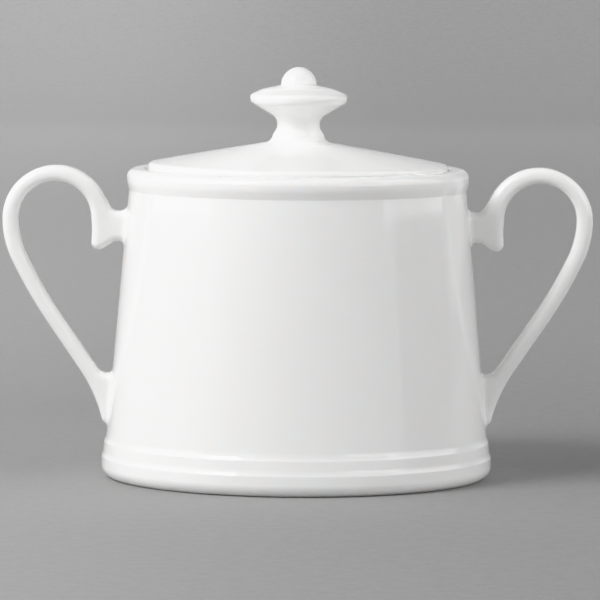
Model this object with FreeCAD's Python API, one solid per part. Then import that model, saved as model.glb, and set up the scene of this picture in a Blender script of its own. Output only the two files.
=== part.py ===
import FreeCAD, Part
import os
from math import cos, hypot, radians, sin, tan

# A covered sugar bowl in glazed bone china: a tapered bowl on a moulded foot, two ear-shaped
# handles, and an inset lid with a turned finial.
#
# Frame: millimetres, +Z up, origin at the centre of the foot ring on the table.
# The two handles lie in the XZ plane, one on each side.
#
# Outlines are lists of (x, z, rounding) corners; straight sides and tangent arcs join them.

# ---- driving dimensions ------------------------------------------------------------------

# Roundings of the lesser corners: cast and glazed china has no sharp edge
SHARP = 0                    # hidden corners, and points where an outline ends
CRISP = 0.4
EASED = 0.9
SOFT = 1.3
BROAD = 2.4

# Bowl, outside
RIM_HEIGHT = 81.1            # table to the top of the rim
CREASE_HEIGHT = 75.7         # where the wall meets the bead under the rim
CREASE_RADIUS = 44.31        # wall radius at that crease
WALL_TAPER = 0.0883          # growth in radius for each millimetre down the wall
BEAD_RADIUS = 44.95          # widest point of the bead
BEAD_SWELL = 1.65            # height from the crease to the bead's upright face
BEAD_BELLY = 4.5             # rounding between those two
BEAD_SHOULDER = 2.3          # rounding of the rim's outer edge
FOOT_RADIUS = 51.4           # widest point of the foot band
FOOT_TUCK = 3.1              # rounding under the foot band
RIDGE_HEIGHTS = (9.35, 5.45)       # the soft ridge under each of the two flutes, upper first
RIDGE_RADII = (50.62, 51.3)
RIDGE_ROUNDING = 0.55
FLUTE_DEPTH = 1.12           # height of the steep run from a ridge into its flute
FLUTE_HOLLOWS = (5.0, 4.0)         # rounding of each flute's hollow

# Bowl, inside
WALL = 2.8                   # thickness of the wall
FLOOR_TOP = 5.8              # table to the inside of the floor
FLOOR_CORNER = 8.0           # rounding between wall and floor, inside
UNDERSIDE = 2.3              # the underside stands this high off the table
FOOT_RING_INNER = 46.4       # inner edge of the foot ring
FOOT_RING_SLOPE = 1.1        # lean of the ring's inner face

# Gallery: the ledge inside the rim that the lid sits on
GALLERY_RADIUS = 39.8        # upright wall round the lid's edge
LEDGE_HEIGHT = 79.3
MOUTH_RADIUS = 36.6          # inner lip of the ledge
LEDGE_UNDERSIDE = 76.4
LEDGE_SPLAY = 2.0            # height over which the ledge's underside runs into the wall

# Lid
LID_RADIUS = 39.4            # clears the gallery wall all round
LID_APEX = 89.5              # where the cone of the lid would come to its point
LID_SLOPE = 0.18             # fall of the cone for each millimetre out
LID_CROWN = 0.15             # swell of the cone above straight, half-way down
LID_CROWN_BEND = 800.0       # radius of that swell
LID_EDGE_ROUNDING = 1.3
LID_THICKNESS = 2.8
FLANGE_OUTER = 36.1          # locating ring under the lid, which drops into the mouth
FLANGE_INNER = 33.5
FLANGE_BOTTOM = 74.9
FINIAL_SEAT = 9.5            # radius of the flat that the finial stands on

# Finial
FINIAL_TOP = 107.75
NECK_RADIUS = 5.62
NECK_BOTTOM = 91.8
NECK_TOP = 94.27
NECK_HOLLOW = 2.75           # rounding at both ends of the neck
COLLAR_RADIUS = 6.7          # soft ring round the foot of the neck
COLLAR_HEIGHT = 90.0
STEM_FOOT = 7.1              # radius where the collar runs into the lid
DISC_RADIUS = 12.8
DISC_BOTTOM = 98.52
DISC_TOP = 100.5
DISC_UNDER_ROUNDING = 1.9
DISC_BROW = (9.3, 102.05, 9.0)     # corner of the disc's domed top
BALL_RADIUS = 4.7
BALL_FOOT = 103.0            # where the ball meets the disc
POLE = 0.001                 # the ball's top is left this wide, so its arc can meet the axis

# Handles, drawn on the +X side: a strap that leaves a short saddle on the wall, turns over an
# arch and comes down to a tail that lies along the wall
HANDLE_WIDTH = 6.4           # across the plane of the handle
HANDLE_ROUNDING = 1.95       # rounding along both edges of the strap
ARM_SLOPE = 34.3             # lean of the straight arm from upright, degrees
SHOULDER_TURN = 25.4         # part of that lean taken up by the tighter shoulder bend
BACK_ARCH = (63.45, 67.6, 14.1)    # back of the strap: centre and radius of the arch
BACK_START = 30.0            # degrees above level where the arch leaves the saddle
BACK_SHOULDER = 25.0         # radii of the bends down the back
BACK_ARM = 124.0
BACK_STRAIGHT = 15.4
BACK_TAIL = 38.0
TAIL_TURN = 20.0             # degrees by which the tail turns back along the wall
TAIL_RUN = 0.9               # last straight stretch of the back, before the tail's tip
TAIL_TIP = (1.6, 3.0)        # how far inside the wall, and below the back, the tip ends
GAP_ARCH = (63.75, 67.9, 9.52)     # side of the strap towards the finger gap
GAP_START = 4.0
GAP_SHOULDER = 22.5
GAP_ARM = 120.0
CROTCH_HEIGHT = 27.0         # bottom of the finger gap
CROTCH_ROUNDING = 3.0
SADDLE_TOP = 69.75           # the short saddle that joins the strap to the wall
SADDLE_BOTTOM = 61.7
SADDLE_NECK = 48.3           # where the saddle's underside turns down into the toe
TOE_SIDE = 54.4              # downturned toe of the strap, on the finger gap's side
TOE_POINT = 57.5
TOE_ROUNDING = 2.0
LEG_BEND = 64.7              # height of the slight bend in the toe's outer face
LEG_BEND_RADIUS = 20.0
SLIP_FILLET = 1.4            # rounding of the slip that joins a handle to the wall

# How the handle outlines run in the wall before the handles are trimmed to the bowl
WALL_OVERLAP = 0.2
WALL_RUN = (5.0, 4.0, 3.0)   # above the saddle, below the saddle, and above the crotch
ROOT_RADIUS = 37.4

ORIGIN = FreeCAD.Vector(0, 0, 0)
UP = FreeCAD.Vector(0, 0, 1)
SIDEWAYS = FreeCAD.Vector(1, 0, 0)
ACROSS = FreeCAD.Vector(0, 1, 0)
SAME_POINT = 1e-6
SEAM_POINTS = 5              # points tested along an edge to see whether it lies on the wall
ON_WALL = 0.02


# ---- outlines ----------------------------------------------------------------------------

def corner_arc(before, corner, after, rounding):
    """Start, middle and end of the arc that rounds a corner, or the corner three times."""
    if rounding == SHARP:
        return corner, corner, corner
    towards_before = (before - corner).normalize()
    towards_after = (after - corner).normalize()
    half_angle = towards_before.getAngle(towards_after) / 2
    setback = rounding / tan(half_angle)
    bisector = (towards_before + towards_after).normalize()
    centre = corner + bisector * (rounding / sin(half_angle))
    middle = centre - bisector * rounding
    return corner + towards_before * setback, middle, corner + towards_after * setback


def rounded_edges(corners, closed):
    """Lines and tangent arcs through (x, z, rounding) corners in the XZ plane."""
    points = [FreeCAD.Vector(x, 0, z) for x, z, rounding in corners]
    count = len(points)
    arcs = []
    for i in range(count):
        arcs.append(corner_arc(points[i - 1], points[i], points[(i + 1) % count], corners[i][2]))
    edges = []
    for i in range(count):
        start, middle, end = arcs[i]
        if start.distanceToPoint(end) > SAME_POINT:
            edges.append(Part.Arc(start, middle, end).toShape())
        following = arcs[(i + 1) % count][0]
        is_last = i == count - 1
        if end.distanceToPoint(following) > SAME_POINT and (closed or not is_last):
            edges.append(Part.LineSegment(end, following).toShape())
    return edges


def turned(corners):
    """Solid of revolution about the upright axis."""
    face = Part.Face(Part.Wire(rounded_edges(corners, closed=True)))
    return face.revolve(ORIGIN, UP, 360)


# ---- bowl --------------------------------------------------------------------------------

def wall_radius(height):
    """Radius of the outside wall at a height."""
    return CREASE_RADIUS + (CREASE_HEIGHT - height) * WALL_TAPER


def outside_corners():
    """Outside of the bowl, from the foot ring up to the rim."""
    upper_ridge, lower_ridge = RIDGE_HEIGHTS
    upper_radius, lower_radius = RIDGE_RADII
    upper_hollow, lower_hollow = FLUTE_HOLLOWS
    upper_flute = upper_ridge + FLUTE_DEPTH
    lower_flute = lower_ridge + FLUTE_DEPTH
    band_radius = upper_radius + (upper_ridge - lower_flute) * WALL_TAPER
    return [
        (FOOT_RADIUS, 0, FOOT_TUCK),
        (lower_radius, lower_ridge, RIDGE_ROUNDING),
        (band_radius, lower_flute, lower_hollow),
        (upper_radius, upper_ridge, RIDGE_ROUNDING),
        (wall_radius(upper_flute), upper_flute, upper_hollow),
        (CREASE_RADIUS, CREASE_HEIGHT, SOFT),
        (BEAD_RADIUS, CREASE_HEIGHT + BEAD_SWELL, BEAD_BELLY),
        (BEAD_RADIUS, RIM_HEIGHT, BEAD_SHOULDER),
    ]


def inside_corners():
    """Gallery, inside wall and floor, from the rim down to the axis."""
    return [
        (GALLERY_RADIUS, RIM_HEIGHT, EASED),
        (GALLERY_RADIUS, LEDGE_HEIGHT, CRISP),
        (MOUTH_RADIUS, LEDGE_HEIGHT, EASED),
        (MOUTH_RADIUS, LEDGE_UNDERSIDE, SOFT),
        (wall_radius(LEDGE_UNDERSIDE) - WALL, LEDGE_UNDERSIDE - LEDGE_SPLAY, BROAD),
        (wall_radius(FLOOR_TOP) - WALL, FLOOR_TOP, FLOOR_CORNER),
        (0, FLOOR_TOP, SHARP),
    ]


def underside_corners():
    """Hollow under the floor, from the axis out to the foot ring."""
    return [
        (0, UNDERSIDE, SHARP),
        (FOOT_RING_INNER - FOOT_RING_SLOPE, UNDERSIDE, SOFT),
        (FOOT_RING_INNER, 0, CRISP),
    ]


def bowl_body():
    return turned(outside_corners() + inside_corners() + underside_corners())


def bowl_envelope():
    """The bowl's outside, filled solid, for shaping the right handle; its seam line is at the left."""
    envelope = turned(outside_corners() + [(0, RIM_HEIGHT, SHARP), (0, 0, SHARP)])
    envelope.rotate(ORIGIN, UP, 180)
    return envelope


# ---- lid ---------------------------------------------------------------------------------

def lid_top(radius):
    """Height of the lid's cone at a radius."""
    return LID_APEX - LID_SLOPE * radius


def lid_cover():
    """Shallow cone with a rounded edge, and the locating ring underneath."""
    crown_radius = (LID_RADIUS + FINIAL_SEAT) / 2
    return turned([
        (0, lid_top(0) - LID_THICKNESS, SHARP),
        (FLANGE_INNER, lid_top(FLANGE_INNER) - LID_THICKNESS, SOFT),
        (FLANGE_INNER, FLANGE_BOTTOM, EASED),
        (FLANGE_OUTER, FLANGE_BOTTOM, EASED),
        (FLANGE_OUTER, LEDGE_HEIGHT, CRISP),
        (LID_RADIUS, LEDGE_HEIGHT, CRISP),
        (LID_RADIUS, lid_top(LID_RADIUS), LID_EDGE_ROUNDING),
        (crown_radius, lid_top(crown_radius) + LID_CROWN, LID_CROWN_BEND),
        (FINIAL_SEAT, lid_top(FINIAL_SEAT), SHARP),
        (0, lid_top(FINIAL_SEAT), SHARP),
    ])


def lid_finial():
    """Waisted stem with a soft collar, a lens-shaped disc and a ball on top."""
    return turned([
        (0, lid_top(FINIAL_SEAT), SHARP),
        (FINIAL_SEAT, lid_top(FINIAL_SEAT), SHARP),
        (STEM_FOOT, lid_top(STEM_FOOT), BROAD),
        (COLLAR_RADIUS, COLLAR_HEIGHT, SOFT),
        (NECK_RADIUS, NECK_BOTTOM, NECK_HOLLOW),
        (NECK_RADIUS, NECK_TOP, NECK_HOLLOW),
        (DISC_RADIUS, DISC_BOTTOM, DISC_UNDER_ROUNDING),
        (DISC_RADIUS, DISC_TOP, SOFT),
        DISC_BROW,
        (BALL_RADIUS, BALL_FOOT, CRISP),
        (BALL_RADIUS, FINIAL_TOP, BALL_RADIUS - POLE),
        (0, FINIAL_TOP, SHARP),
    ])


# ---- handles -----------------------------------------------------------------------------

class SideLine:
    """One side of the strap: bends and straight runs laid end to end."""

    def __init__(self, arch, start_angle):
        """Starts on an arch of (centre x, centre z, radius), at an angle above level."""
        centre_x, centre_z, radius = arch
        angle = radians(start_angle)
        self.x = centre_x - radius * cos(angle)
        self.z = centre_z + radius * sin(angle)
        self.heading = 90.0 - start_angle
        self.edges = []
        self.bend(radius, 180.0 - start_angle)

    def point(self):
        return FreeCAD.Vector(self.x, 0, self.z)

    def bend(self, radius, turn):
        """Arc of a radius; a positive turn is clockwise, with +X to the right."""
        start = self.point()
        side = 1 if turn > 0 else -1
        across = radians(self.heading - side * 90)
        centre = start + FreeCAD.Vector(cos(across), 0, sin(across)) * radius
        stops = []
        for share in (0.5, 1.0):
            angle = across + radians(180) - radians(turn) * share
            stops.append(centre + FreeCAD.Vector(cos(angle), 0, sin(angle)) * radius)
        self.edges.append(Part.Arc(start, stops[0], stops[1]).toShape())
        self.x, self.z = stops[1].x, stops[1].z
        self.heading -= turn

    def straight(self, length):
        start = self.point()
        angle = radians(self.heading)
        self.x += length * cos(angle)
        self.z += length * sin(angle)
        self.edges.append(Part.LineSegment(start, self.point()).toShape())

    def start(self):
        return self.edges[0].Vertexes[0].Point


def strap_back():
    """Outer side, from the saddle over the arch and down to the tail."""
    side = SideLine(BACK_ARCH, BACK_START)
    side.bend(BACK_SHOULDER, SHOULDER_TURN)
    side.bend(BACK_ARM, ARM_SLOPE - SHOULDER_TURN)
    side.straight(BACK_STRAIGHT)
    side.bend(BACK_TAIL, -TAIL_TURN)
    return side


def strap_gap_side():
    """Side towards the finger gap, from the toe over the arch to the straight arm."""
    side = SideLine(GAP_ARCH, GAP_START)
    side.bend(GAP_SHOULDER, SHOULDER_TURN)
    side.bend(GAP_ARM, ARM_SLOPE - SHOULDER_TURN)
    return side


def in_wall(height, rounding):
    """Corner just inside the bowl's wall, which the outline then follows."""
    return wall_radius(height) - WALL_OVERLAP, height, rounding


def saddle_top_corners(strap_start):
    """From the root in the wall, out along the top of the saddle to the strap's back."""
    above = SADDLE_TOP + WALL_RUN[0]
    corner_x = strap_start.x - (strap_start.z - SADDLE_TOP) * tan(radians(BACK_START))
    return [
        (ROOT_RADIUS, above, SHARP),
        in_wall(above, SHARP),
        in_wall(SADDLE_TOP, BROAD),
        (corner_x, SADDLE_TOP, TOE_ROUNDING),
        (strap_start.x, strap_start.z, SHARP),
    ]


def tail_corners(back, gap):
    """From the end of the back round the tail's tip, up inside the wall to the crotch."""
    tail_start = back.point()
    back.straight(TAIL_RUN)
    inset, drop = TAIL_TIP
    above = CROTCH_HEIGHT + WALL_RUN[2]
    crotch_x = gap.x - (gap.z - CROTCH_HEIGHT) * tan(radians(ARM_SLOPE))
    return [
        (tail_start.x, tail_start.z, SHARP),
        (back.x, back.z, BROAD),
        (wall_radius(back.z) - inset, back.z - drop, SHARP),
        (ROOT_RADIUS, back.z, SHARP),
        (ROOT_RADIUS, above, SHARP),
        in_wall(above, SHARP),
        in_wall(CROTCH_HEIGHT, SOFT),
        (crotch_x, CROTCH_HEIGHT, CROTCH_ROUNDING),
        (gap.x, gap.z, SHARP),
    ]


def toe_corners(strap_start):
    """Down the toe from the gap side of the arch, and back under the saddle to the root."""
    below = SADDLE_BOTTOM - WALL_RUN[1]
    bend_x = strap_start.x - (strap_start.z - LEG_BEND) * tan(radians(GAP_START))
    return [
        (strap_start.x, strap_start.z, SHARP),
        (bend_x, LEG_BEND, LEG_BEND_RADIUS),
        (TOE_SIDE, TOE_POINT, TOE_ROUNDING),
        (SADDLE_NECK, SADDLE_BOTTOM, SOFT),
        in_wall(SADDLE_BOTTOM, SOFT),
        in_wall(below, SHARP),
        (ROOT_RADIUS, below, SHARP),
        (ROOT_RADIUS, SADDLE_TOP + WALL_RUN[0], SHARP),
    ]


def handle_outline():
    back = strap_back()
    gap = strap_gap_side()
    edges = rounded_edges(saddle_top_corners(back.start()), closed=False)
    edges += back.edges
    edges += rounded_edges(tail_corners(back, gap), closed=False)
    edges += gap.edges
    edges += rounded_edges(toe_corners(gap.start()), closed=False)
    return Part.Wire(Part.sortEdges(edges)[0])


def long_edges(bar):
    """Edges along both flat sides of a handle, all but the one at the root."""
    chosen = []
    for edge in bar.Edges:
        ends = [vertex.Point for vertex in edge.Vertexes]
        along_the_side = abs(ends[0].y - ends[-1].y) < SAME_POINT
        outside_the_root = max(end.x for end in ends) > ROOT_RADIUS + SAME_POINT
        if along_the_side and outside_the_root:
            chosen.append(edge)
    return chosen


def seam_edges(joined):
    """Edges where the right handle's surface meets the bowl's wall."""
    chosen = []
    for edge in joined.Edges:
        points = edge.discretize(SEAM_POINTS)
        off_wall = max(abs(hypot(p.x, p.y) - wall_radius(p.z)) for p in points)
        if off_wall < ON_WALL and min(p.x for p in points) > 0:
            chosen.append(edge)
    return chosen


def right_handle():
    """Bar of the handle's outline, its long edges rounded over, flared into the wall."""
    face = Part.Face(handle_outline())
    face.translate(ACROSS * (-HANDLE_WIDTH / 2))
    bar = face.extrude(ACROSS * HANDLE_WIDTH)
    rounded = bar.makeFillet(HANDLE_ROUNDING, long_edges(bar))
    envelope = bowl_envelope()
    joined = rounded.fuse(envelope)
    flared = joined.makeFillet(SLIP_FILLET, seam_edges(joined))
    return flared.cut(envelope)


def left_handle():
    return right_handle().mirror(ORIGIN, SIDEWAYS)


# ---- output ------------------------------------------------------------------------------

def main():
    os.makedirs("parts", exist_ok=True)
    pieces = {
        "bowl_body": bowl_body(),
        "left_handle": left_handle(),
        "right_handle": right_handle(),
        "lid_cover": lid_cover(),
        "lid_finial": lid_finial(),
    }
    for name, shape in pieces.items():
        shape.exportStep("parts/" + name + ".step")
        print(name, "solids", len(shape.Solids), "valid", shape.isValid(), "mm3", round(shape.Volume))


main()
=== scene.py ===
import math

import bpy
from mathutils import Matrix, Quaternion, Vector


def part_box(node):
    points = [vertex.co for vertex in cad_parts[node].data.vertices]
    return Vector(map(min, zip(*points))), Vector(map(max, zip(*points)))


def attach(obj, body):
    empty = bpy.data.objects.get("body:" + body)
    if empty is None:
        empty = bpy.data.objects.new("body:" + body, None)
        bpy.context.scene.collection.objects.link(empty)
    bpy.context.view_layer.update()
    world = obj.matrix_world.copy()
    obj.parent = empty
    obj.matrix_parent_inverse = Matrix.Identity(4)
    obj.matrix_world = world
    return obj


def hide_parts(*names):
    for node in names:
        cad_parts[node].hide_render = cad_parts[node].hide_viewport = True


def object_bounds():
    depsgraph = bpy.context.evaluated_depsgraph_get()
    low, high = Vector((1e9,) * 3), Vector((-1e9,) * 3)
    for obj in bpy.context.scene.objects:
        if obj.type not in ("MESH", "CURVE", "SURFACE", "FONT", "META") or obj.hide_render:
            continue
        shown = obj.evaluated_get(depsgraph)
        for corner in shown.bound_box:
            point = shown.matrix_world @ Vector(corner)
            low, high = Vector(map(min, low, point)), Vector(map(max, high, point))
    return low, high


# A covered sugar bowl in glazed bone china. It stands on the origin with its handles along X, and
# its front looks down -Y. Outlines are in millimetres; what is given to Blender is in metres.

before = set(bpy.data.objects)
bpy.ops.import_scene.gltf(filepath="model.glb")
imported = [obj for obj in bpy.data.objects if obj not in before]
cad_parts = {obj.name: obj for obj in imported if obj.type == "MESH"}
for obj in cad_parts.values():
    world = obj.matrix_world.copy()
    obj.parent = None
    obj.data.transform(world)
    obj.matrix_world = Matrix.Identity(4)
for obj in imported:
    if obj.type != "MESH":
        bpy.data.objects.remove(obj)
CAD_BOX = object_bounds()
MM = 0.001

# ---- outlines turned about the axis ------------------------------------------------------

RING_STEPS = 384             # vertices round each turned piece
ARC_STEP = math.radians(6)   # longest step along a rounded corner
ON_AXIS = 1e-7               # a smaller radius counts as the axis itself

# Usual roundings of an outline's corners: cast and glazed china has no sharp edge
SHARP = 0.02
CRISP = 0.4
EASED = 0.9
SOFT = 1.3
BROAD = 2.4


def rounded(corners):
    """(radius, height, outward normal, hollow) along a closed outline of (r, z, rounding) corners.

    The outline runs anticlockwise with r to the right, so its outside is on the right hand.
    hollow is how deep in an inside corner a point is, 0 to 1; it sets how much painted shade the
    corner gets.
    """
    points = []
    count = len(corners)
    for i in range(count):
        before = Vector(corners[i - 1][:2])
        corner = Vector(corners[i][:2])
        after = Vector(corners[(i + 1) % count][:2])
        rounding = corners[i][2]
        into = (corner - before).normalized()
        out = (after - corner).normalized()
        turn = math.atan2(into.x * out.y - into.y * out.x, into.dot(out))
        side = math.copysign(1, turn)
        setback = rounding * math.tan(abs(turn) / 2)
        start = corner - into * setback
        centre = start + Vector((-into.y, into.x)) * side * rounding
        steps = max(2, math.ceil(abs(turn) / ARC_STEP))
        if rounding == 0:
            centre, steps = corner, 0
        for k in range(steps + 1):
            angle = turn * k / max(steps, 1)
            along = Vector((
                into.x * math.cos(angle) - into.y * math.sin(angle),
                into.x * math.sin(angle) + into.y * math.cos(angle),
            ))
            normal = Vector((along.y, -along.x))
            point = centre + normal * side * rounding
            share = math.sin(math.pi * k / max(steps, 1))
            hollow = share * min(1, abs(turn)) if turn < 0 else 0
            points.append((max(point.x, 0), point.y, normal, hollow))
    return points


def leaned(vertex, slope, above):
    """A vertex tipped to the right; the tip fades in over a millimetre above a height."""
    x, y, z = vertex
    share = min(max((z - above) / MM, 0), 1)
    tipped = z - slope * share * x
    return x + slope * share * (z - above), y, min(tipped, CAD_BOX[1].z)


def turned(name, corners, lean=0.0, lean_above=0.0):
    """Solid of revolution with exact normals, and an attribute of painted shade for inside corners.

    What lies above lean_above (mm) is fired out of true: it leans to the right by a slope of lean.
    """
    outline = rounded(corners)
    vertices, normals, crease_shades, faces, rings = [], [], [], [], []
    for radius, height, normal, hollow in outline:
        first = len(vertices)
        if radius < ON_AXIS:
            if rings and len(rings[-1]) == 1 and vertices[-1][2] == height * MM:
                continue
            vertices.append((0, 0, height * MM))
            normals.append((0, 0, math.copysign(1, normal.y)))
            crease_shades.append(0)
            rings.append([first])
            continue
        for k in range(RING_STEPS):
            angle = 2 * math.pi * k / RING_STEPS
            c, s = math.cos(angle), math.sin(angle)
            vertices.append((radius * c * MM, radius * s * MM, height * MM))
            normals.append((normal.x * c, normal.x * s, normal.y))
            crease_shades.append(hollow)
        rings.append(list(range(first, first + RING_STEPS)))
    for low, high in zip(rings, rings[1:] + rings[:1]):
        for k in range(RING_STEPS):
            following = (k + 1) % RING_STEPS
            if len(low) == 1 and len(high) == 1:
                break
            if len(low) == 1:
                faces.append((low[0], high[following], high[k]))
            elif len(high) == 1:
                faces.append((low[k], low[following], high[0]))
            else:
                faces.append((low[k], low[following], high[following], high[k]))
    if lean:
        vertices = [leaned(v, lean, lean_above * MM) for v in vertices]
    mesh = bpy.data.meshes.new(name)
    mesh.from_pydata(vertices, [], faces)
    mesh.validate()
    mesh.shade_smooth()
    mesh.normals_split_custom_set_from_vertices(normals)
    # Painted shade: how deep each vertex lies in an inside corner, which darkens the china there
    crease_shade = mesh.attributes.new("painted_crease_shade", "FLOAT", "POINT")
    crease_shade.data.foreach_set("value", crease_shades)
    piece = bpy.data.objects.new(name, mesh)
    bpy.context.scene.collection.objects.link(piece)
    return piece


# ---- the bowl ----------------------------------------------------------------------------

RIM_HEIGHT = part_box("bowl_body")[1].z / MM
GALLERY_RADIUS = 39.8        # the upright just inside the rim, round the lid's edge
LEDGE_HEIGHT = RIM_HEIGHT - 1.8
LEDGE_THICKNESS = 2.9
LEDGE_SLOPE_DROP = 2.0       # how far its underside runs down to meet the wall
MOUTH_RADIUS = 36.6

CREASE_HEIGHT = RIM_HEIGHT - 5.7
CREASE_ROUNDING = 0.7
BEAD_RADIUS = 44.95
BEAD_SWELL = 2.3             # from the crease up to the bead's full width
BEAD_UNDERSIDE = 5.5
BEAD_SHOULDER = 2.3

WALL_TOP = RIM_HEIGHT - 5.4
WALL_TOP_RADIUS = 44.31
WALL_TAPER = 0.0883
WALL = 2.8
WALL_BOTTOM = 10.47
FLOOR_TOP = 5.8
FLOOR_COVE = 8.0

FOOT_RADIUS = 51.4
FOOT_ROUNDING = 3.1
FOOT_RECESS = 2.3            # how far the base is hollowed inside the foot ring
RECESS_RADIUS = 45.3
RING_RADIUS = 46.4           # inner edge of the ring it stands on
LOWER_BAND = (51.3, 5.45)    # top edge, as radius and height
LOWER_FLUTE = (50.87, 6.57)
UPPER_BAND = (50.62, 9.35)
BAND_EDGE = 0.55
LOWER_FLUTE_ROUNDING = 4.0
UPPER_FLUTE_ROUNDING = 5.0


def wall_radius(height):
    return WALL_TOP_RADIUS + (WALL_TOP - height) * WALL_TAPER


def bowl():
    """Foot band, two flutes, tapered wall, bead, gallery ledge, inside wall, floor and foot ring."""
    under_ledge = LEDGE_HEIGHT - LEDGE_THICKNESS
    return turned("bowl_glazed", [
        (FOOT_RADIUS, 0, FOOT_ROUNDING),
        (*LOWER_BAND, BAND_EDGE),
        (*LOWER_FLUTE, LOWER_FLUTE_ROUNDING),
        (*UPPER_BAND, BAND_EDGE),
        (wall_radius(WALL_BOTTOM), WALL_BOTTOM, UPPER_FLUTE_ROUNDING),
        (wall_radius(CREASE_HEIGHT), CREASE_HEIGHT, CREASE_ROUNDING),
        (BEAD_RADIUS, CREASE_HEIGHT + BEAD_SWELL, BEAD_UNDERSIDE),
        (BEAD_RADIUS, RIM_HEIGHT, BEAD_SHOULDER),
        (GALLERY_RADIUS, RIM_HEIGHT, EASED),
        (GALLERY_RADIUS, LEDGE_HEIGHT, CRISP),
        (MOUTH_RADIUS, LEDGE_HEIGHT, EASED),
        (MOUTH_RADIUS, under_ledge, SOFT),
        (wall_radius(under_ledge) - WALL, under_ledge - LEDGE_SLOPE_DROP, BROAD),
        (wall_radius(FLOOR_TOP) - WALL, FLOOR_TOP, FLOOR_COVE),
        (0, FLOOR_TOP, 0),
        (0, FOOT_RECESS, 0),
        (RECESS_RADIUS, FOOT_RECESS, SOFT),
        (RING_RADIUS, 0, CRISP),
    ])


# ---- the lid -----------------------------------------------------------------------------

LID_APEX = 89.5
LID_SLOPE = 0.18
LID_RADIUS = 39.4
LID_THICKNESS = 2.8
LID_BELLY = 0.15             # the cone bulges this much halfway out
BELLY_ROUNDING = 800.0
FLANGE_OUTER = 36.1
FLANGE_INNER = 33.5
LID_LEAN = 0.005             # the fired lid is this slope out of true, its right side low

SEAT_RADIUS = 9.5            # where the finial spreads out onto the lid
COLLAR = (6.7, 90.0)         # radius and height
STEM_RADIUS = 5.62
STEM_BOTTOM = 91.8
STEM_TOP = 94.27
STEM_ROUNDING = 2.75
DISC_RADIUS = 12.8
DISC_BOTTOM = 98.52
DISC_TOP = 100.5
DISC_UNDERSIDE = 1.9
DISC_CROWN = (9.3, 102.05)
CROWN_ROUNDING = 9.0
BALL_RADIUS = 4.7
BALL_FOOT = 103.0


def lid_top(radius):
    return LID_APEX - LID_SLOPE * radius


def lid():
    """Low cone with a rounded edge, and the flange under it that keeps it in the mouth."""
    halfway = (LID_RADIUS + SEAT_RADIUS) / 2
    flange_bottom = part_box("lid_cover")[0].z / MM
    return turned("lid_glazed", [
        (0, lid_top(0) - LID_THICKNESS, 0),
        (FLANGE_INNER, lid_top(FLANGE_INNER) - LID_THICKNESS, SOFT),
        (FLANGE_INNER, flange_bottom, EASED),
        (FLANGE_OUTER, flange_bottom, EASED),
        (FLANGE_OUTER, LEDGE_HEIGHT, CRISP),
        (LID_RADIUS, LEDGE_HEIGHT, CRISP),
        (LID_RADIUS, lid_top(LID_RADIUS), SOFT),
        (halfway, lid_top(halfway) + LID_BELLY, BELLY_ROUNDING),
        (SEAT_RADIUS, lid_top(SEAT_RADIUS), SHARP),
        (0, lid_top(SEAT_RADIUS), 0),
    ], LID_LEAN, RIM_HEIGHT)


def finial():
    """Spreading foot, collar, waisted stem, lens-shaped disc and ball."""
    foot_radius = 7.1
    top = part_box("lid_finial")[1].z / MM
    return turned("finial_glazed", [
        (0, lid_top(SEAT_RADIUS), 0),
        (SEAT_RADIUS, lid_top(SEAT_RADIUS), SHARP),
        (foot_radius, lid_top(foot_radius), BROAD),
        (*COLLAR, SOFT),
        (STEM_RADIUS, STEM_BOTTOM, STEM_ROUNDING),
        (STEM_RADIUS, STEM_TOP, STEM_ROUNDING),
        (DISC_RADIUS, DISC_BOTTOM, DISC_UNDERSIDE),
        (DISC_RADIUS, DISC_TOP, SOFT),
        (*DISC_CROWN, CROWN_ROUNDING),
        (BALL_RADIUS, BALL_FOOT, CRISP),
        (BALL_RADIUS, top, BALL_RADIUS),
        (0, top, 0),
    ], LID_LEAN, RIM_HEIGHT)


# ---- materials ---------------------------------------------------------------------------

CHINA_DULL = (0.903, 0.901, 0.894, 1)
CHINA_BRIGHT = (0.930, 0.929, 0.925, 1)
# Painted shade: inside corners of the glazed china are mixed a little toward this grey, where
# creases fall in shadow
CREASE_SHADE_GREY = (0.852, 0.852, 0.846, 1)
CREASE_SHADE_STRENGTH = 0.35
BISCUIT = (0.83, 0.80, 0.75, 1)       # unglazed ring that the bowl was fired on
BARE_BELOW = 0.25 * MM
GLAZED_ABOVE = 0.45 * MM
BISCUIT_ROUGHNESS = 0.6
GLOSS = (0.03, 0.07)                  # roughness of the glaze, from its noise's low to its high
GLAZE_IOR = 1.5
SCATTER = (1.0, 0.9, 0.82)            # how far red, green and blue travel in the china
SCATTER_DEPTH = 1.6 * MM

# Painted light on the paper: lighter at the left, toward the key, and darker at the right
PAPER_SPAN = (-0.16, 0.10)            # from left to right, in metres
PAPER_PAINTED_FALLOFF = (0.395, 0.302)
FIBRE_SPAN = (0.6, 1.4)
FIBRE_GAIN = (0.93, 1.07)
PAPER_ROUGHNESS = 0.8

# Places of the factor, the two values and the result on a mix node
MIX_SOCKETS = {"RGBA": (0, 6, 7, 2), "FLOAT": (0, 2, 3, 0)}


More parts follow.
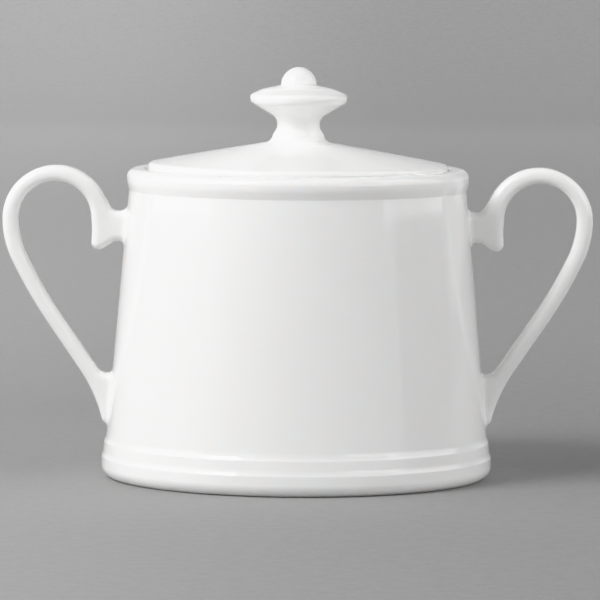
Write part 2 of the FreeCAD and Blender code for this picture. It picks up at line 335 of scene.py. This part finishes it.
class Nodes:
    """Short hand for building one material's nodes; its methods give back an output."""

    def __init__(self, name):
        self.material = bpy.data.materials.new(name)
        self.material.use_nodes = True
        self.tree = self.material.node_tree
        self.shader = self.tree.nodes["Principled BSDF"]
        self.where = self.node("ShaderNodeTexCoord").outputs["Object"]
        self.place = self.node("ShaderNodeSeparateXYZ", Vector=self.where)

    def node(self, kind, settings=None, **inputs):
        made = self.tree.nodes.new(kind)
        for key, value in (settings or {}).items():
            setattr(made, key, value)
        for key, value in inputs.items():
            self.set(made, key.replace("_", " "), value)
        return made

    def set(self, node, key, value):
        socket = node.inputs[key]
        if isinstance(value, bpy.types.NodeSocket):
            self.tree.links.new(value, socket)
        else:
            socket.default_value = value

    def noise(self, scale, detail):
        made = self.node("ShaderNodeTexNoise", Vector=self.where, Scale=scale, Detail=detail)
        return made.outputs["Fac"]

    def ranged(self, value, source, target=(0.0, 1.0), easing="LINEAR"):
        return self.node(
            "ShaderNodeMapRange", {"interpolation_type": easing}, Value=value,
            From_Min=source[0], From_Max=source[1], To_Min=target[0], To_Max=target[1],
        ).outputs[0]

    def mix(self, kind, factor, first, second):
        *inputs, result = MIX_SOCKETS[kind]
        made = self.node("ShaderNodeMix", {"data_type": kind})
        for key, value in zip(inputs, (factor, first, second)):
            self.set(made, key, value)
        return made.outputs[result]

    def arithmetic(self, operation, first, second):
        made = self.node("ShaderNodeMath", {"operation": operation})
        self.set(made, 0, first)
        self.set(made, 1, second)
        return made.outputs[0]


def china(name, translucency):
    """Clear gloss glaze over white bone china, with painted shade in inside corners, bare body on
    the foot ring.
    """
    n = Nodes(name)
    bare = n.ranged(n.place.outputs["Z"], (GLAZED_ABOVE, BARE_BELOW), easing="SMOOTHSTEP")
    # Painted shade: the china is darkened a little in inside corners, where creases fall in shadow
    crease_shade = n.node("ShaderNodeAttribute", {"attribute_name": "painted_crease_shade"}).outputs["Fac"]
    crease_shade = n.arithmetic("MULTIPLY", crease_shade, CREASE_SHADE_STRENGTH)
    body = n.mix("RGBA", n.noise(28.0, 3.0), CHINA_DULL, CHINA_BRIGHT)
    glazed = n.mix("RGBA", crease_shade, body, CREASE_SHADE_GREY)
    n.set(n.shader, "Base Color", n.mix("RGBA", bare, glazed, BISCUIT))
    gloss = n.ranged(n.noise(90.0, 2.0), (0.0, 1.0), GLOSS)
    n.set(n.shader, "Roughness", n.mix("FLOAT", bare, gloss, BISCUIT_ROUGHNESS))
    peel = n.noise(160.0, 2.0)
    bump = n.node("ShaderNodeBump", Height=peel, Strength=0.06, Distance=0.2 * MM)
    n.set(n.shader, "Normal", bump.outputs[0])
    n.set(n.shader, "IOR", GLAZE_IOR)
    n.set(n.shader, "Subsurface Weight", translucency)
    n.set(n.shader, "Subsurface Radius", SCATTER)
    n.set(n.shader, "Subsurface Scale", SCATTER_DEPTH)
    return n.material


def paper():
    """Felt-like grey paper: fine fibres over a painted falloff of light, slowly darker from left to
    right.
    """
    n = Nodes("studio_paper")
    # Painted light: the paper darkens from left to right as the light from the left falls off
    painted_falloff = n.ranged(n.place.outputs["X"], PAPER_SPAN, PAPER_PAINTED_FALLOFF, "SMOOTHSTEP")
    fibres = n.arithmetic("ADD", n.noise(900.0, 2.0), n.noise(260.0, 3.0))
    gain = n.ranged(fibres, FIBRE_SPAN, FIBRE_GAIN)
    n.set(n.shader, "Base Color", n.arithmetic("MULTIPLY", painted_falloff, gain))
    n.set(n.shader, "Roughness", PAPER_ROUGHNESS)
    return n.material


# ---- studio ------------------------------------------------------------------------------

def make_floor():
    """Paper floor that runs up into a backdrop far behind the bowl."""
    half, start, bend, top = 12.0, 2.2, 1.0, 3.0
    bend_steps = 12
    line = [(-half, 0.0), (start, 0.0)]
    for k in range(1, bend_steps + 1):
        angle = math.radians(90 * k / bend_steps)
        line.append((start + bend * math.sin(angle), bend * (1 - math.cos(angle))))
    line.append((start + bend, top))
    vertices = [(x, y, z) for y, z in line for x in (-half, half)]
    faces = [(2 * k, 2 * k + 1, 2 * k + 3, 2 * k + 2) for k in range(len(line) - 1)]
    mesh = bpy.data.meshes.new("studio_floor")
    mesh.from_pydata(vertices, [], faces)
    mesh.shade_smooth()
    mesh.materials.append(paper())
    floor = bpy.data.objects.new("studio_floor", mesh)
    bpy.context.scene.collection.objects.link(floor)


def softbox(name, place, target, size, radiance, roll=0.0):
    """Area light of an even radiance, facing a point, rolled about its own axis (degrees)."""
    data = bpy.data.lights.new(name, "AREA")
    data.shape = "RECTANGLE"
    data.size, data.size_y = size
    data.energy = radiance * size[0] * size[1] * math.pi
    lamp = bpy.data.objects.new(name, data)
    lamp.location = place
    lamp.rotation_mode = "QUATERNION"
    facing = (Vector(target) - Vector(place)).to_track_quat("-Z", "Y")
    lamp.rotation_quaternion = facing @ Quaternion((0, 0, 1), math.radians(roll))
    lamp.visible_camera = False
    bpy.context.scene.collection.objects.link(lamp)


def from_angles(azimuth, elevation, distance):
    """Point at a distance from the bowl; azimuth 0 is in front and 90 to the right."""
    a, e = math.radians(azimuth), math.radians(elevation)
    return Vector((math.sin(a) * math.cos(e), -math.cos(a) * math.cos(e), math.sin(e))) * distance


def make_windows():
    """A tall pane on each side, which the wall, rim and handles mirror."""
    distance, centre, size = 0.60, (-0.045, 0.4815), (0.615, 0.75)
    radiance, roll = 1.8, -3.6
    for side, name in ((-1, "window_left"), (1, "window_right")):
        softbox(name, (distance * side, *centre), (0, *centre), size, radiance, roll * side)


def make_bowl_light():
    """A key from the front left, low walls of fill all round, and a faint one behind."""
    middle = (0, 0, 0.05)
    softbox("key", from_angles(-51, 42, 1.3), middle, (0.5, 0.65), 10.4)
    softbox("fill_left", from_angles(-35, 18, 2.2), middle, (1.4, 0.5), 0.8)
    softbox("fill_right", (1.7, -1.55, 0.8), (0, 0, 0.08), (1.4, 0.75), 2.4)
    softbox("low_front", (0, -2.4, 0.45), (0, 0, 0.45), (2.6, 0.88), 0.6)
    softbox("low_left", (-1.9, -1.7, 0.45), (0, 0, 0.45), (1.8, 0.88), 0.3)
    softbox("low_right", (1.9, -1.7, 0.45), (0, 0, 0.45), (1.8, 0.88), 0.7)
    softbox("rear_right", (0.68, 0.62, 0.42), (0, 0.3, 0.42), (0.6, 0.75), 0.35)
    softbox("back_wall", (0, 2.0, 0.845), (0, 0, 0.845), (3.6, 1.51), 0.15)


def make_floor_light():
    """Lamps that face away from the bowl, and keep the floor pale behind it and at its sides."""
    near, far = 9.1, 18.4
    softbox("backdrop_near", (-0.26, 0.18, 1.0), (-0.21, 1.06, 1.0), (1.2, 0.35), near)
    softbox("backdrop_far", (-0.18, 1.79, 2.07), (0.12, 3.39, 0.78), (1.2, 0.6), far)
    for side, name in ((-1, "left"), (1, "right")):
        softbox(name + "_floor_near", (0.62 * side, 0, 1.0), (side, 0, 1.0), (1.8, 0.35), near)
        place, target = (1.79 * side, 0, 2.07), (3.39 * side, 0, 0.78)
        softbox(name + "_floor_far", place, target, (1.8, 0.6), far)


def make_world():
    """The faint even light of a white room."""
    world = bpy.data.worlds.new("studio")
    world.use_nodes = True
    background = world.node_tree.nodes["Background"]
    background.inputs["Color"].default_value = (1, 1, 1, 1)
    background.inputs["Strength"].default_value = 0.05
    bpy.context.scene.world = world


SHOULDER_KNEE = 0.85
SHOULDER_REACH = 0.12
BRIGHTEST = 3.0
ALL_CHANNELS = 3             # the curve that acts on red, green and blue together


def make_response():
    """Picture brightness follows the scene's up to the knee, then highlights roll off softly."""
    view = bpy.context.scene.view_settings
    view.view_transform = "Standard"
    view.use_curve_mapping = True
    mapping = view.curve_mapping
    mapping.clip_max_x = mapping.clip_max_y = BRIGHTEST
    curve = mapping.curves[ALL_CHANNELS]
    curve.points[0].location = (0, 0)
    curve.points[1].location = (BRIGHTEST, SHOULDER_KNEE + SHOULDER_REACH)
    for above in (0, 0.03, 0.06, 0.1, 0.15, 0.2, 0.3, 0.45, 0.7, 1.0):
        level = SHOULDER_REACH * (1 - math.exp(-above / SHOULDER_REACH))
        curve.points.new(SHOULDER_KNEE + above, SHOULDER_KNEE + level)
    for point in curve.points:
        point.handle_type = "VECTOR"
    mapping.update()


CAMERA_PLACE = Vector((0, -1.350, 0.156))
CAMERA_AIM = Vector((0, 0, 0.0466))
CAMERA_ROLL = math.radians(0.35)


def make_camera():
    """A long lens a little above the bowl's middle."""
    data = bpy.data.cameras.new("camera")
    data.sensor_width = 36.0
    data.lens = 308.8
    data.shift_x = 0.0047
    data.shift_y = -0.0009
    data.dof.use_dof = False
    camera = bpy.data.objects.new("camera", data)
    camera.location = CAMERA_PLACE
    camera.rotation_mode = "QUATERNION"
    facing = (CAMERA_AIM - CAMERA_PLACE).to_track_quat("-Z", "Y")
    camera.rotation_quaternion = facing @ Quaternion((0, 0, 1), CAMERA_ROLL)
    bpy.context.scene.collection.objects.link(camera)
    bpy.context.scene.camera = camera


# ---- the scene ---------------------------------------------------------------------------

# The small pieces are opaque: light scattered inside them would be lost in their hidden joints
bowl_china = china("bowl_china", translucency=0.7)
china_glaze = china("china_glaze", translucency=0.0)
for piece, node, body, glaze in (
    (bowl(), "bowl_body", "bowl", bowl_china),
    (lid(), "lid_cover", "lid", china_glaze),
    (finial(), "lid_finial", "lid", china_glaze),
):
    piece.data.materials.append(glaze)
    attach(piece, body)
    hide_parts(node)
for node in ("left_handle", "right_handle"):
    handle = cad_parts[node]
    handle.material_slots[0].link = "OBJECT"
    handle.material_slots[0].material = china_glaze

make_floor()
make_windows()
make_bowl_light()
make_floor_light()
make_world()
make_camera()
make_response()
